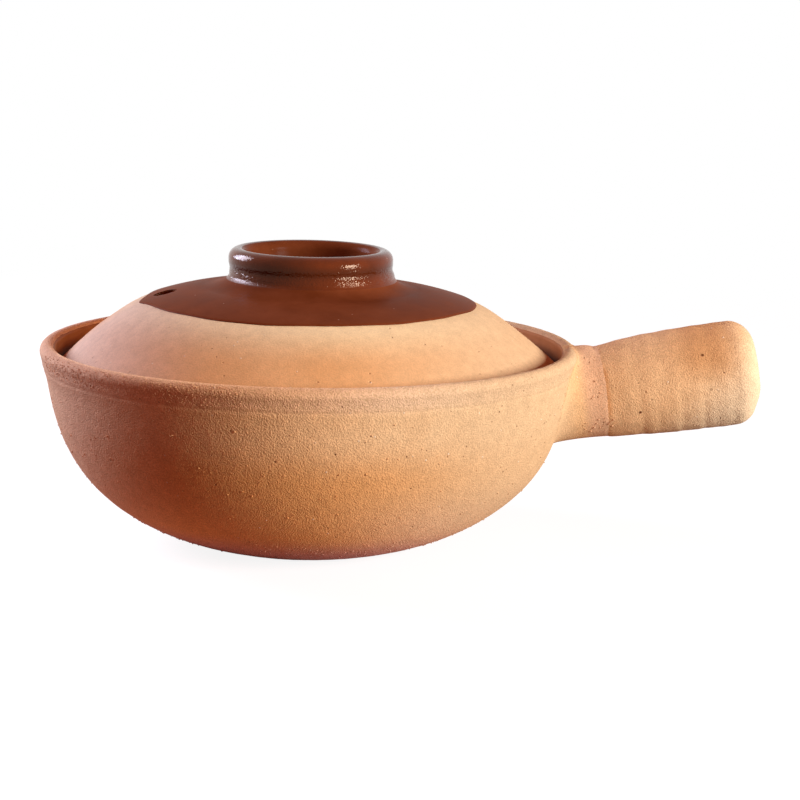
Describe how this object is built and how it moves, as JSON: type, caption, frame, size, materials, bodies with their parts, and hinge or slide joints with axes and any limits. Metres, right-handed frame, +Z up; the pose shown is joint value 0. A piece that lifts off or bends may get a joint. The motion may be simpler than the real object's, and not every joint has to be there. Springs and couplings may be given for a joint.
{
  "type": "single-handled clay pot",
  "caption": "Round clay cooking pot with a hollow side handle and a loose domed lid with a ring knob and a steam vent, glazed brown inside and on the crown of the lid.",
  "frame": {"origin": "centre of the flat base, on the bowl's axis", "axes": "+Z up along the bowl's axis, +X from the bowl's axis out along the handle"},
  "size_m": [0.2818, 0.21, 0.1141],
  "materials": {
    "bowl_clay": "unglazed, coarse and sandy",
    "handle_clay": "unglazed, sandy, with throwing rings",
    "lid_clay": "unglazed, fine and smooth",
    "lid_glaze": "brown glaze, glossy on the knob, satin on the dome",
    "inside_glaze": "thin brown glaze, satin"
  },
  "bodies": {
    "pot": {"bowl": "bowl_clay", "bowl_glaze": "inside_glaze", "handle": "handle_clay", "handle_collar": "handle_clay"},
    "lid": {"lid": "lid_clay", "lid_knob": "lid_clay", "lid_glaze": "lid_glaze"}
  },
  "joints": [
    {"name": "lid_lift", "type": "slide", "parent": "pot", "child": "lid", "axis": [0, 0, 1], "range_m": [0, 0.15]}
  ]
}
